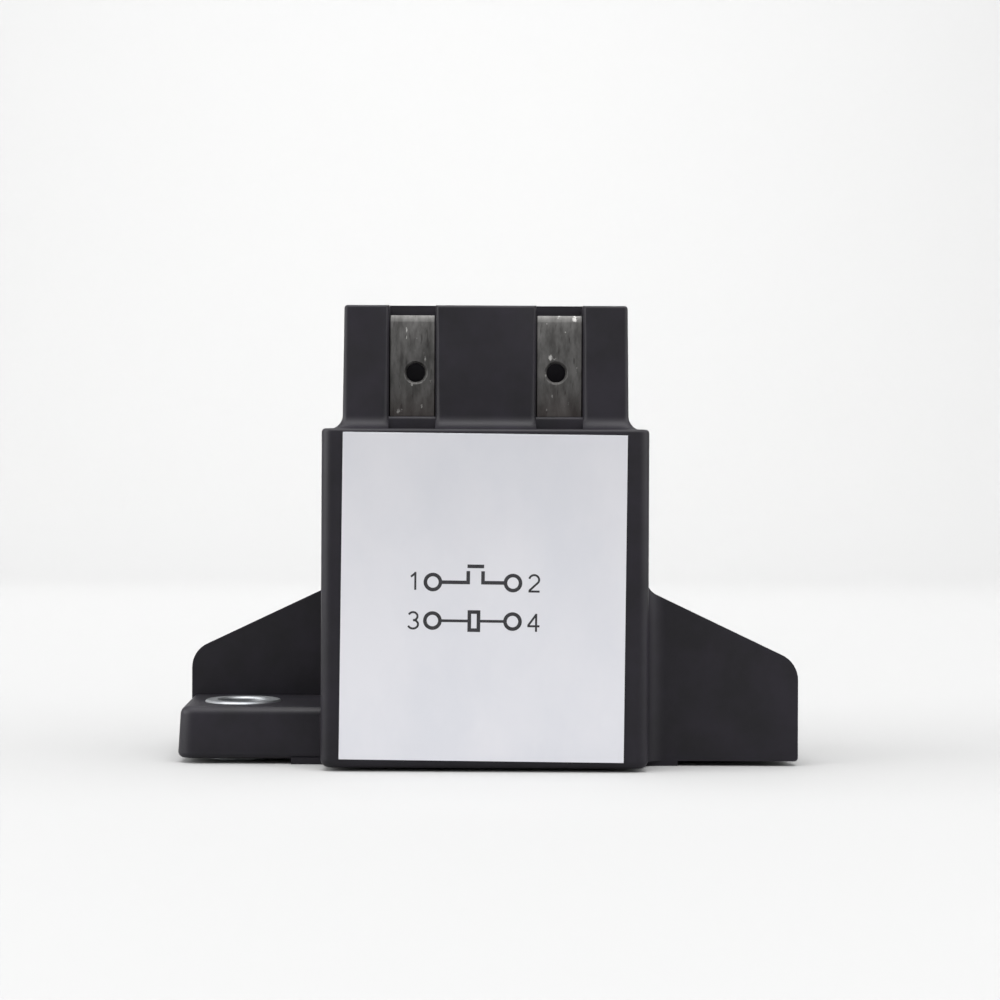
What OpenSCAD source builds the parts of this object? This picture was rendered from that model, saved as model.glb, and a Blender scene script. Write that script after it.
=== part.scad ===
// High voltage DC contactor, single pole, with a plunger solenoid and a double-break contact bridge.
// Millimetres, +Z up. The face with the label looks along -Y, and the origin is the middle of the
// mounting plane. The two ears are one shape, turned half a turn about Z.

/* [Case] */
// Width of the body
body_w = 34.6; // [33:0.1:40]
// Depth of the body, front to back
body_d = 30; // [28:0.1:36]
// Height of the shoulder above the mounting plane
shoulder_h = 36.1; // [34:0.1:44]
// Thickness of the moulded walls
wall = 2; // [1.6:0.1:2.4]
// Radius of the body's vertical corners
corner_r = 1.25; // [1:0.05:2]
// Rounding of the body's bottom edge
bottom_r = 0.9; // [0.3:0.05:1]
// Rounding of the shoulder's outer edge
shoulder_r = 0.4; // [0.2:0.05:0.5]
// Height of the pads that the case stands on
pad_h = 0.35; // [0.2:0.05:0.8]
// Reach of the pads past the body's sides
pad_reach = 3.6; // [2:0.1:5]
// Width of the step in the bottom rim that takes the cover
rebate = 0.8; // [0.5:0.05:1]

/* [Terminal head] */
// Height of the head above the shoulder
head_h = 13.2; // [12:0.1:18]
// Step in from the body to the head, all round
head_step = 2.1; // [2:0.05:2.6]
// Lean of the head's walls, in degrees
head_draft = 0.7; // [0.2:0.1:1]
// Radius of the fillet between the head and the shoulder
head_fillet = 1.5; // [0.8:0.1:1.6]
// Radius of the head's vertical corners
head_corner_r = 0.6; // [0.6:0.05:1]
// Rounding of the head's top edge
head_top_r = 0.3; // [0.1:0.05:0.35]
// Rise of the middle of the head above its columns
ridge_h = 0.4; // [0.2:0.05:1]
// Depth of a terminal channel
channel_depth = 4.5; // [3:0.1:5]
// Gap on each side of a tab in its channel
channel_gap = 0.1; // [0.1:0.05:0.5]
// Rounding of a channel's mouth
mouth_r = 0.7; // [0.3:0.05:0.9]
// Height of a channel's sill above the shoulder
sill_h = 1.4; // [1:0.1:2]
// How far a sill's face lies behind the head's face
recess_depth = 0.25; // [0.15:0.05:0.3]
// Rounding of a sill's front edge
sill_r = 0.35; // [0.2:0.05:0.4]

/* [Ears] */
// Distance between the mounting holes along X
hole_span = 54; // [52:0.1:60]
// Plastic left between a bushing and the ear's end
ear_margin = 2.65; // [2.2:0.05:4]
// How much shorter an ear is at its free side than at its gusset
ear_setback = 0.55; // [0:0.05:0.7]
// Depth of an ear, front to back
ear_d = 18; // [15:0.1:20]
// Height of an ear's underside above the body's
ear_lift = 0.2; // [0:0.05:0.4]
// Height of an ear's top above the mounting plane
ear_top = 6.15; // [5:0.05:8]
// Radius of an ear's free corner
ear_corner_r = 1.7; // [1:0.1:2.5]
// Rounding of an ear's top edge
ear_edge_r = 0.9; // [0.3:0.1:1]
// Rounding of an ear's bottom edge
ear_foot_r = 0.6; // [0.2:0.1:0.8]
// Lean of an ear's free sides, in degrees
ear_draft = 2.4; // [0:0.2:4]
// Thickness of a gusset
gusset_t = 3; // [2:0.1:3.5]
// Height of a gusset's sloping edge where it meets the body
gusset_top = 19.1; // [16:0.1:25]
// Slope of that edge, in degrees
gusset_slope = 25.4; // [18:0.1:28]
// Radius of a gusset's outer top corner
gusset_r = 3; // [1:0.1:4]
// Radius of the fillets between a gusset and the body
gusset_fillet = 2.2; // [0.5:0.1:2.5]
// Radius of the fillet between an ear's free side and the body
ear_fillet = 0.6; // [0.3:0.1:1]

/* [Bushings] */
// Inside diameter of a bushing, for an M5 screw
bushing_bore = 5.4; // [5.2:0.1:5.6]
// Outside diameter of a bushing
bushing_od = 8.5; // [7.5:0.1:9.5]
// How far a bushing stands above its ear
bushing_proud = 0.2; // [0:0.05:0.5]
// Chamfer on a bushing's top edges
bushing_chamfer = 0.2; // [0.1:0.05:0.4]

/* [Terminals] */
// Width of a tab
tab_w = 4.75; // [4:0.05:5.2]
// Thickness of a tab
tab_t = 0.8; // [0.5:0.05:1]
// Distance between the two tabs of a pair
tab_pitch = 15.66; // [14.5:0.1:17]
// How far a tab's face lies behind the head's face
tab_inset = 0.95; // [0.8:0.05:1.2]
// How far a tab's tip stays below the columns' tops
tab_drop = 1; // [0.5:0.1:3]
// Height of the bevel on a tab's tip
tip_bevel = 0.7; // [0.2:0.1:1]
// Thickness left at a tab's tip
tip_t = 0.2; // [0.15:0.05:0.4]
// Diameter of the hole in a tab
tab_hole_d = 2; // [1.5:0.1:2.4]
// Distance of the hole below the tip
tab_hole_drop = 6.1; // [4:0.1:8]
// Offset of the hole towards the middle of the head
tab_hole_shift = 0.35; // [0:0.05:0.6]
// Width of the chamfer round the hole
tab_hole_rim = 0.25; // [0.1:0.05:0.3]
// Inside radius of a load terminal's bend
bend_r = 0.6; // [0.4:0.1:1]

/* [Label] */
// Width of the label
label_w = 29.9; // [26:0.1:31]
// Height of the label
label_h = 34.35; // [30:0.05:34.4]
// Thickness of the label's film
label_t = 0.12; // [0.08:0.01:0.2]
// Offset of the label to the left
label_shift = 0.17; // [0:0.01:0.3]
// How far the label sits above the middle of the face
label_rise = 0.15; // [0:0.05:0.2]
// Turn of the label on its face, in degrees
label_turn = 0.5; // [0:0.1:0.6]

/* [Solenoid] */
// Thickness of the base cover
cover_t = 2; // [1.5:0.1:2.5]
// Thickness of the yoke's sheet
yoke_t = 1.6; // [1.2:0.1:2]
// Width of the yoke's sheet
yoke_w = 16; // [14:0.1:18]
// Width of the staked tongues on the yoke's legs
tongue_w = 8; // [6:0.1:10]
// Room between the yoke and the case's side
yoke_room = 1.4; // [0.6:0.1:1.8]
// Diameter of the plunger
plunger_d = 8.8; // [8:0.1:9.6]
// Length of the plunger
plunger_l = 8.5; // [7:0.1:9]
// Travel of the plunger
stroke = 2; // [1.8:0.1:2.4]
// Wall of the guide sleeve
sleeve_t = 0.35; // [0.25:0.05:0.5]
// Wall of the bobbin's tube
bobbin_wall = 0.8; // [0.6:0.1:1]
// Thickness of the bobbin's flanges
flange_t = 1.3; // [1:0.1:1.6]
// Least room between the winding and the yoke's legs or the coil terminals
winding_room = 0.9; // [0.5:0.1:1.5]
// Diameter of the winding's lead wires
lead_d = 0.6; // [0.4:0.1:0.8]
// Thickness of the rubber stop pad
stop_pad_t = 0.8; // [0.5:0.1:1]
// Diameter of the shaft
shaft_d = 2.6; // [2.2:0.1:3]
// Diameter of the core's rivet neck
neck_d = 7; // [6.5:0.1:7.5]

/* [Contacts] */
// Open gap between the contact tips
contact_gap = 1.5; // [1.2:0.1:1.7]
// Diameter of a contact tip
tip_d = 3.6; // [3:0.1:4]
// Height of a contact tip
contact_tip_h = 0.8; // [0.6:0.1:1]
// Thickness of the contact bridge
bridge_t = 1.2; // [1:0.1:1.5]
// Width of the contact bridge
bridge_w = 5; // [4.6:0.1:6]
// Thickness of the spring seat
seat_t = 0.6; // [0.4:0.1:0.8]
// Thickness of the retaining clip
clip_t = 0.5; // [0.4:0.1:0.6]
// Wall of the arc chamber
chamber_wall = 1.2; // [0.9:0.1:1.4]
// Thickness of the arc chamber's floor
chamber_floor = 1; // [0.8:0.1:1.4]
// Thickness of the arc chamber's lid
lid_t = 1.8; // [1.4:0.1:2]
// Thickness of a blowout magnet
magnet_t = 1.8; // [1.2:0.1:2]
// Width of a blowout magnet
magnet_w = 10; // [8:0.1:14]
// Height of a blowout magnet
magnet_h = 8; // [6:0.1:9]

/* [Springs] */
// Wire of both springs
spring_wire = 0.5; // [0.3:0.05:0.55]
// Outside diameter of the return spring
return_spring_d = 5.2; // [4.8:0.1:5.6]
// Turns of the return spring
return_turns = 6; // [5:0.5:7]
// Depth of the spring's pocket in the plunger
plunger_pocket = 2.5; // [2:0.1:3]
// Depth of the spring's pocket in the fixed core
core_pocket = 3; // [2:0.1:3.5]
// Outside diameter of the contact spring
contact_spring_d = 6; // [5:0.1:6.4]
// Turns of the contact spring
contact_turns = 3.5; // [3:0.5:4]
// Length of the contact spring with the contacts open
contact_spring_l = 3.35; // [3:0.05:4]

/* [Clearances] */
// Gap round glued, pressed and moulded-in pieces
fit = 0.05; // [0.03:0.01:0.08]
// Gap round pieces that slide
run = 0.1; // [0.08:0.01:0.15]
// Free room between pieces that only lie near each other
loose = 0.2; // [0.15:0.05:0.3]

/* [Hidden] */
$fn = 64;
HULL_FN = 32;      // facets round the rounded posts that are hulled
ARC_STEPS = 8;     // straight steps in a rounded corner of an outline
WIRE_SIDES = 6;    // sides of a spring's wire
TURN_STEPS = 18;   // steps in one turn of a spring
OVER = 1;          // how far a cutter runs past what it cuts
SINK = 0.2;        // how deep a fillet's body reaches into the walls that it joins

// Body and head
head_w = body_w - 2 * head_step;
head_d = body_d - 2 * head_step;
head_top = shoulder_h + head_h;
channel_w = tab_w + 2 * channel_gap;
room_x = body_w / 2 - wall;
room_y = body_d / 2 - wall;
room_r = 0.6;
roof_z = shoulder_h - wall;
cover_top = pad_h + cover_t;
rebate_w = 2 * (room_x + rebate);
rebate_d = 2 * (room_y + rebate);
ridge_d = head_d - 2 * channel_depth;
ridge_w = head_w - 2 * head_corner_r;

// Ears and mounting holes
hole_x = hole_span / 2;
hole_y = gusset_t / 2;
ear_reach = hole_x + bushing_od / 2 + ear_margin;
ear_low = pad_h + ear_lift;
ear_t = ear_top - ear_low;
ear_lean = ear_t * tan(ear_draft);
gusset_edge_r = 0.5;
gusset_foot_r = 0.4;
gusset_tuck = 0.1;
gusset_steep = tan(gusset_slope);
bushing_h = ear_top + bushing_proud;

// Terminals: the front face of the front pair
tab_y = -(head_d / 2 - tab_inset);
tab_tip = head_top - tab_drop;

// Contact stack, from the roof down
lid_top = roof_z - loose;
lid_low = lid_top - lid_t;
arm_top = lid_low - run;
arm_low = arm_top - tab_t;
fixed_tip_low = arm_low - contact_tip_h;
closed_gap = 0.02;
moving_tip_top = fixed_tip_low - contact_gap - closed_gap;
bridge_top = moving_tip_top - contact_tip_h;
bridge_low = bridge_top - bridge_t;
seat_top = bridge_low - contact_spring_l;
seat_low = seat_top - seat_t;
chamber_floor_top = seat_low - 2 * loose;
plate_top = chamber_floor_top - chamber_floor;
plate_low = plate_top - yoke_t;
arm_end = tip_d / 2 + loose;
bridge_x = tab_pitch / 2 + tip_d / 2 + loose;
magnet_x = room_x - loose;
chamber_x = magnet_x - magnet_t - fit;
chamber_y = -tab_y - tab_t - bend_r - 2 * loose;

// Solenoid stack, from the cover up
yoke_low = cover_top;
coil_low = yoke_low + yoke_t;
yoke_x = room_x - yoke_room;
leg_x = yoke_x - yoke_t;
sleeve_id = plunger_d + 2 * run;
sleeve_od = sleeve_id + 2 * sleeve_t;
bobbin_bore = sleeve_od + 2 * fit;
bobbin_od = bobbin_bore + 2 * bobbin_wall;
flange_x = leg_x - loose;
flange_y = room_y - loose;
lead_x = tab_pitch / 2 - lead_d;
lead_end = -tab_y - tab_t - fit;
winding_r = min(leg_x - winding_room, sqrt(pow(lead_end - winding_room, 2) + pow(lead_x, 2)) - fit);
winding_low = coil_low + flange_t;
winding_top = plate_low - flange_t;
lead_z = winding_top - lead_d;
coil_tab_low = lead_z - lead_d;
pad_top = cover_top + sleeve_t + stop_pad_t;
plunger_low = pad_top + closed_gap;
plunger_top = plunger_low + plunger_l;
core_low = plunger_top + stroke + closed_gap;
return_low = plunger_top - plunger_pocket;
return_top = core_low + core_pocket;
pocket_d = return_spring_d + 2 * loose;

// Shaft
clip_low = bridge_top + closed_gap;
groove_h = clip_t + 2 * closed_gap;
groove_d = shaft_d - 0.6;
clip_d = shaft_d + 2.2;
shaft_low = plunger_low + loose;
shaft_top = clip_low + groove_h + 0.6;
shaft_chamfer = 0.2;

// Points along an arc, from one angle to another
function arc(x, y, r, from, to) =
    [for (i = [0:ARC_STEPS]) let (a = from + (to - from) * i / ARC_STEPS) [x + r * cos(a), y + r * sin(a)]];

// Height of a spring's wire at a given turn: one closed turn at each end, and even pitch between them
function spring_rise(turn, turns, rise, closed) =
    turn < 1 ? turn * closed
    : turn > turns - 1 ? rise - (turns - turn) * closed
    : closed + (turn - 1) * (rise - 2 * closed) / (turns - 2);

// A rectangle with round corners, about its middle
module round_rect(w, d, r) {
    square([w - 2 * r, d], center = true);
    square([w, d - 2 * r], center = true);
    for (x = [-1, 1], y = [-1, 1])
        translate([x * (w / 2 - r), y * (d / 2 - r)])
            circle(r);
}

// What an inner fillet adds, or an outer rounding takes away, in the corner at the origin
module corner_piece(r, past) {
    difference() {
        translate([-past, -past])
            square(r + past);
        translate([r, r])
            circle(r);
    }
}

// Carries a profile round a rectangle with round corners. The profile's x runs outwards from the
// axes of the corners.
module round_rect_sweep(w, d, r) {
    for (half = [0, 180]) rotate(half) {
        translate([w / 2 - r, d / 2 - r, 0])
            rotate_extrude(angle = 90)
                children();
        translate([-(w / 2 - r), d / 2 - r, 0])
            rotate(90)
                rotate_extrude(angle = 90)
                    children();
        translate([w / 2 - r, d / 2 - r, 0])
            rotate([90, 0, 0])
                linear_extrude(d - 2 * r)
                    children();
        rotate(90)
            translate([d / 2 - r, w / 2 - r, 0])
                rotate([90, 0, 0])
                    linear_extrude(w - 2 * r)
                        children();
    }
}

// Stands a profile of Y and Z upright and gives it a width along X
module across_x(width) {
    rotate([90, 0, 90])
        linear_extrude(width, center = true)
            children();
}

// A helical spring with closed ends, standing on the origin
module spring(outside_d, wire, turns, length) {
    mean_r = (outside_d - wire) / 2;
    rings = round(turns * TURN_STEPS);
    points = [
        for (i = [0:rings], k = [0:WIRE_SIDES - 1])
            let (
                turn = turns * i / rings,
                side = 360 * k / WIRE_SIDES,
                r = mean_r + wire / 2 * cos(side),
                z = wire / 2 + spring_rise(turn, turns, length - wire, wire * 1.15) + wire / 2 * sin(side)
            )
            [r * cos(360 * turn), r * sin(360 * turn), z]
    ];
    skin = [
        for (i = [0:rings - 1], k = [0:WIRE_SIDES - 1])
            let (
                a = i * WIRE_SIDES + k,
                b = i * WIRE_SIDES + (k + 1) % WIRE_SIDES
            )
            each [[a, b, a + WIRE_SIDES], [b, b + WIRE_SIDES, a + WIRE_SIDES]]
    ];
    start = [for (k = [WIRE_SIDES - 1:-1:0]) k];
    end = [for (k = [0:WIRE_SIDES - 1]) rings * WIRE_SIDES + k];
    polyhedron(points, concat(skin, [start, end]));
}

// The body's block, with round corners and round bottom and shoulder edges
module body_block() {
    h = shoulder_h - pad_h;
    translate([0, 0, pad_h]) {
        translate([0, 0, h / 2])
            cube([body_w - 2 * corner_r, body_d - 2 * corner_r, h], center = true);
        round_rect_sweep(body_w, body_d, corner_r)
            difference() {
                square([corner_r, h]);
                translate([corner_r, 0])
                    mirror([1, 0])
                        corner_piece(bottom_r, OVER);
                translate([corner_r, h])
                    rotate(180)
                        corner_piece(shoulder_r, OVER);
            }
    }
}

// The head's block, whose walls lean in above the fillet
module head_block() {
    lean = (head_h - head_fillet) * tan(head_draft);
    translate([0, 0, shoulder_h - SINK])
        linear_extrude(head_h + SINK)
            square([head_w - 2 * head_corner_r, head_d - 2 * head_corner_r], center = true);
    translate([0, 0, shoulder_h])
        round_rect_sweep(head_w, head_d, head_corner_r)
            difference() {
                polygon([
                    [0, -SINK],
                    [head_corner_r, -SINK],
                    [head_corner_r, head_fillet],
                    [head_corner_r - lean, head_h],
                    [0, head_h]
                ]);
                translate([head_corner_r - lean, head_h])
                    rotate(180)
                        corner_piece(head_top_r, OVER);
            }
}

// Profile of the fillet at the head's foot, for a wall at the given distance from the sweep's axis
module foot_profile(at) {
    translate([at, 0])
        corner_piece(head_fillet, SINK);
}

// Sets its children at each channel: the middle of its mouth at the shoulder, with -Y pointing out
module each_channel() {
    for (half = [0, 180], side = [-1, 1])
        rotate(half)
            translate([side * tab_pitch / 2, -head_d / 2, shoulder_h])
                children();
}

// Plan of a channel of the given depth, with a round mouth
module channel_plan(depth) {
    translate([-channel_w / 2, -OVER])
        square([channel_w, depth + OVER]);
    difference() {
        translate([-channel_w / 2 - mouth_r, -OVER])
            square([channel_w + 2 * mouth_r, min(mouth_r, depth) + OVER]);
        for (side = [-1, 1])
            translate([side * (channel_w / 2 + mouth_r), mouth_r])
                circle(mouth_r);
    }
}

// The room of one channel above its sill, and what the sill's face and round edge leave out
module channel_cut() {
    translate([0, recess_depth, sill_h])
        across_x(channel_w)
            mirror([0, 1])
                corner_piece(sill_r, OVER / 2);
    translate([0, 0, sill_h])
        linear_extrude(head_h + ridge_h)
            channel_plan(channel_depth);
    linear_extrude(sill_h + SINK)
        channel_plan(recess_depth);
}

// The foot fillet where it turns round one side of a channel's mouth
module mouth_fillet() {
    difference() {
        translate([channel_w / 2 + mouth_r, mouth_r, 0])
            rotate(180)
                rotate_extrude(angle = 90)
                    foot_profile(mouth_r);
        translate([channel_w / 2 - 2 * head_fillet, -2 * head_fillet, -OVER])
            cube([2 * head_fillet, 4 * head_fillet, head_fillet + 2 * OVER]);
    }
}

// The terminal head with its four channels
module head() {
    difference() {
        union() {
            head_block();
            translate([0, 0, head_top + (ridge_h - SINK) / 2])
                cube([ridge_w, ridge_d, ridge_h + SINK], center = true);
        }
        each_channel()
            channel_cut();
    }
    difference() {
        translate([0, 0, shoulder_h])
            round_rect_sweep(head_w, head_d, head_corner_r)
                foot_profile(head_corner_r);
        each_channel()
            translate([-channel_w / 2 - mouth_r, -2 * head_fillet, -OVER])
                cube([channel_w + 2 * mouth_r, 2 * head_fillet + mouth_r, head_fillet + 2 * OVER]);
    }
    each_channel()
        for (side = [0, 1])
            mirror([side, 0, 0])
                mouth_fillet();
}

// A round post of an ear's height. Its side leans from one radius to the other, and both ends are round.
module ear_post(low_r, high_r, foot_r, edge_r) {
    rotate_extrude($fn = HULL_FN)
        polygon(concat(
            [[0, 0]],
            arc(low_r - foot_r, foot_r, foot_r, -90, 0),
            arc(high_r - edge_r, ear_t - edge_r, edge_r, 0, 90),
            [[0, ear_t]]
        ));
}

// Outline of a gusset in X and Z, with a fillet to the body and a round outer corner
module gusset_outline() {
    root_x = body_w / 2;
    slant = sqrt(1 + gusset_steep * gusset_steep);
    fillet_x = root_x + gusset_fillet;
    fillet_z = gusset_top - gusset_steep * gusset_fillet + slant * gusset_fillet;
    round_x = ear_reach - gusset_r;
    round_z = gusset_top - gusset_steep * (round_x - root_x) - slant * gusset_r;
    polygon(concat(
        [[root_x - SINK, ear_low], [root_x - SINK, fillet_z]],
        arc(fillet_x, fillet_z, gusset_fillet, 180, 270 - gusset_slope),
        arc(round_x, round_z, gusset_r, 90 - gusset_slope, 0),
        arc(ear_reach - gusset_foot_r, ear_low + gusset_foot_r, gusset_foot_r, 0, -90)
    ));
}

// Plan of a gusset, with a fillet to the body at its outer face
module gusset_plan() {
    root_x = body_w / 2;
    translate([root_x - SINK, ear_d / 2 - gusset_t])
        square([ear_reach - root_x + SINK, gusset_t]);
    translate([root_x, ear_d / 2])
        corner_piece(gusset_fillet, SINK);
}

// One ear, on the +X side turned so that its gusset is on the +Y side
module ear() {
    free_y = -(ear_d / 2 - ear_corner_r - ear_lean);
    root_x = body_w / 2;
    translate([0, 0, ear_low])
        hull() {
            for (x = [root_x - ear_corner_r, ear_reach - ear_setback - ear_corner_r - ear_lean])
                translate([x, free_y, 0])
                    ear_post(ear_corner_r + ear_lean, ear_corner_r, ear_foot_r, ear_edge_r);
            for (x = [root_x - ear_corner_r, ear_reach - gusset_tuck - gusset_edge_r])
                translate([x, ear_d / 2 - gusset_tuck - gusset_edge_r, 0])
                    ear_post(gusset_edge_r, gusset_edge_r, gusset_foot_r, gusset_foot_r);
        }
    intersection() {
        translate([0, ear_d / 2 + gusset_fillet, 0])
            rotate([90, 0, 0])
                linear_extrude(gusset_t + gusset_fillet)
                    gusset_outline();
        linear_extrude(gusset_top + gusset_fillet)
            gusset_plan();
    }
    translate([root_x, -ear_d / 2 + ear_lean / 2, ear_low])
        linear_extrude(ear_t - ear_edge_r)
            mirror([0, 1])
                corner_piece(ear_fillet, SINK);
    translate([room_x + rebate, -ear_d / 2, 0])
        cube([wall - rebate + pad_reach, ear_d, ear_low + SINK]);
}

// The slot that one terminal's strip runs through, down to the given height
module strip_slot(low) {
    translate([-tab_w / 2 - fit, -fit, low])
        cube([tab_w + 2 * fit, tab_t + 2 * fit, shoulder_h + sill_h + OVER - low]);
}

// Moulded shell with the head, the ears and the gussets, open at the bottom
module case() {
    color("#2c2b2f")
        difference() {
            union() {
                body_block();
                head();
                for (half = [0, 180])
                    rotate(half)
                        mirror([0, 1, 0])
                            ear();
            }
            translate([0, 0, -OVER])
                linear_extrude(roof_z + OVER)
                    round_rect(2 * room_x, 2 * room_y, room_r);
            translate([0, 0, -OVER])
                linear_extrude(cover_top + OVER)
                    round_rect(rebate_w, rebate_d, room_r);
            translate([0, 0, roof_z - OVER])
                linear_extrude(head_h + OVER)
                    round_rect(head_w - 2 * wall, ridge_d - 2 * wall, room_r);
            for (side = [-1, 1]) {
                translate([side * tab_pitch / 2, tab_y, 0])
                    strip_slot(arm_low - bend_r);
                rotate(180)
                    translate([side * tab_pitch / 2, tab_y, 0])
                        strip_slot(coil_tab_low - loose);
                translate([side * hole_x, side * hole_y, -OVER])
                    cylinder(d = bushing_od + 2 * fit, h = ear_top + 2 * OVER);
            }
        }
}

// Plate in the case's bottom rim, with a pad that carries on the case's own pads
module base_cover() {
    color("#313034") {
        translate([0, 0, pad_h])
            linear_extrude(cover_t)
                round_rect(rebate_w - 2 * fit, rebate_d - 2 * fit, room_r - fit);
        translate([0, 0, pad_h / 2])
            cube([rebate_w - 2 * fit, ear_d, pad_h], center = true);
    }
}

// Film label on the front face
module label() {
    color("#d9d9dc")
        translate([-label_shift, -body_d / 2, (shoulder_h + pad_h) / 2 + label_rise])
            rotate([90, label_turn, 0])
                linear_extrude(label_t)
                    square([label_w, label_h], center = true);
}

// Metal sleeve that takes the clamp force of a mounting screw
module mounting_bushing() {
    color("#c3c5c8")
        difference() {
            union() {
                cylinder(d = bushing_od, h = bushing_h - bushing_chamfer);
                translate([0, 0, bushing_h - bushing_chamfer])
                    cylinder(d1 = bushing_od, d2 = bushing_od - 2 * bushing_chamfer, h = bushing_chamfer);
            }
            translate([0, 0, -OVER])
                cylinder(d = bushing_bore, h = bushing_h + 2 * OVER);
            translate([0, 0, bushing_h - bushing_chamfer])
                cylinder(d1 = bushing_bore, d2 = bushing_bore + 2 * bushing_chamfer, h = bushing_chamfer);
        }
}

module mounting_bushing_left() {
    translate([-hole_x, -hole_y, 0])
        mounting_bushing();
}

module mounting_bushing_right() {
    translate([hole_x, hole_y, 0])
        mounting_bushing();
}

// Section of a tab from the given height up to its bevelled tip, with its face on the Z axis
module tab_section(low) {
    bevel = (tab_t - tip_t) / 2;
    polygon([
        [0, low],
        [tab_t, low],
        [tab_t, tab_tip - tip_bevel],
        [tab_t - bevel, tab_tip],
        [bevel, tab_tip],
        [0, tab_tip - tip_bevel]
    ]);
}

// The hole through a tab, with a chamfer at its face
module tab_hole() {
    translate([tab_hole_shift, 0, tab_tip - tab_hole_drop])
        rotate([-90, 0, 0]) {
            translate([0, 0, -OVER])
                cylinder(d = tab_hole_d, h = tab_t + 2 * OVER);
            cylinder(d1 = tab_hole_d + 2 * tab_hole_rim, d2 = tab_hole_d, h = tab_hole_rim);
        }
}

// Tab on the left of its pair, bent inwards under the chamber's lid
module load_terminal() {
    bend_y = tab_t + bend_r;
    bend_z = arm_top + bend_r;
    color("#a3a29d")
        difference() {
            across_x(tab_w) {
                tab_section(bend_z);
                intersection() {
                    translate([bend_y, bend_z])
                        difference() {
                            circle(bend_y);
                            circle(bend_r);
                        }
                    translate([0, arm_low])
                        square([bend_y, bend_y]);
                }
                translate([bend_y, arm_low])
                    square([arm_end - tab_y - bend_y, tab_t]);
            }
            tab_hole();
        }
}

// Tab on the left of its pair, straight down to the bobbin's flange
module coil_terminal() {
    color("#a3a29d")
        difference() {
            across_x(tab_w)
                tab_section(coil_tab_low);
            tab_hole();
        }
}

module load_terminal_left() {
    translate([-tab_pitch / 2, tab_y, 0])
        load_terminal();
}

module load_terminal_right() {
    translate([tab_pitch / 2, tab_y, 0])
        mirror([1, 0, 0])
            load_terminal();
}

module coil_terminal_left() {
    rotate(180)
        translate([tab_pitch / 2, tab_y, 0])
            mirror([1, 0, 0])
                coil_terminal();
}

module coil_terminal_right() {
    rotate(180)
        translate([-tab_pitch / 2, tab_y, 0])
            coil_terminal();
}

// A pair of round contact tips at the tabs' pitch
module tip_pair(low) {
    color("#d6d3cb")
        for (side = [-1, 1])
            translate([side * tab_pitch / 2, 0, low])
                cylinder(d = tip_d, h = contact_tip_h);
}

module fixed_contact_tips() {
    tip_pair(fixed_tip_low);
}

module moving_contact_tips() {
    tip_pair(bridge_top);
}

// Copper bar that joins the two fixed tips when it is lifted
module contact_bridge() {
    color("#b5764a")
        translate([0, 0, bridge_low])
            linear_extrude(bridge_t)
                difference() {
                    union() {
                        square([2 * bridge_x - bridge_w, bridge_w], center = true);
                        for (side = [-1, 1])
                            translate([side * (bridge_x - bridge_w / 2), 0])
                                circle(d = bridge_w);
                    }
                    circle(d = shaft_d + 2 * run);
                }
}

// Open tray that keeps the arc inside, with slots for the load terminals' arms
module arc_chamber() {
    slot_w = tab_w + 2 * run;
    color("#cfc9b8")
        difference() {
            translate([0, 0, plate_top])
                linear_extrude(lid_low - plate_top)
                    round_rect(2 * chamber_x, 2 * chamber_y, room_r);
            translate([0, 0, chamber_floor_top])
                linear_extrude(lid_low - chamber_floor_top + OVER)
                    square(2 * [chamber_x - chamber_wall, chamber_y - chamber_wall], center = true);
            translate([0, 0, plate_top - OVER])
                cylinder(d = shaft_d + 4 * run, h = chamber_floor + 2 * OVER);
            for (side = [-1, 1])
                translate([side * tab_pitch / 2 - slot_w / 2, -chamber_y - OVER, arm_low - run])
                    cube([slot_w, chamber_wall + 2 * OVER, tab_t + 2 * run + OVER]);
        }
}

module chamber_lid() {
    color("#cfc9b8")
        translate([0, 0, lid_low])
            linear_extrude(lid_t)
                round_rect(2 * chamber_x, 2 * chamber_y, room_r);
}

// Flat magnet at one end of the arc chamber, standing on the chamber's side of the yoke plate
module blowout_magnet() {
    color("#55575a")
        translate([chamber_x + fit, -magnet_w / 2, plate_top + fit])
            cube([magnet_t, magnet_w, magnet_h]);
}

module blowout_magnet_left() {
    mirror([1, 0, 0])
        blowout_magnet();
}

module blowout_magnet_right() {
    blowout_magnet();
}

// Bent steel sheet under and beside the coil, with a tongue on each leg
module yoke() {
    leg_h = plate_low - yoke_low;
    color("#8d9196")
        difference() {
            union() {
                rotate([90, 0, 0])
                    linear_extrude(yoke_w, center = true)
                        difference() {
                            translate([-yoke_x, yoke_low])
                                square([2 * yoke_x, leg_h]);
                            translate([-leg_x, coil_low])
                                square([2 * leg_x, leg_h]);
                            for (side = [0, 1])
                                mirror([side, 0])
                                    translate([-yoke_x, yoke_low])
                                        corner_piece(yoke_t, OVER);
                        }
                for (side = [-1, 1])
                    translate([side * (yoke_x - yoke_t / 2), 0, plate_low + (yoke_t - SINK) / 2])
                        cube([yoke_t, tongue_w, yoke_t + SINK], center = true);
            }
            translate([0, 0, yoke_low - OVER])
                cylinder(d = sleeve_od + 2 * fit, h = yoke_t + 2 * OVER);
        }
}

// Steel plate that closes the yoke, staked on the legs' tongues
module yoke_plate() {
    color("#8d9196")
        translate([0, 0, plate_low])
            difference() {
                translate([0, 0, yoke_t / 2])
                    cube([2 * yoke_x, yoke_w, yoke_t], center = true);
                translate([0, 0, -OVER])
                    cylinder(d = neck_d + 2 * fit, h = yoke_t + 2 * OVER);
                for (side = [-1, 1])
                    translate([side * yoke_x, 0, 0])
                        cube([2 * (yoke_t + fit), tongue_w + 2 * fit, 4 * yoke_t], center = true);
            }
}

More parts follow.
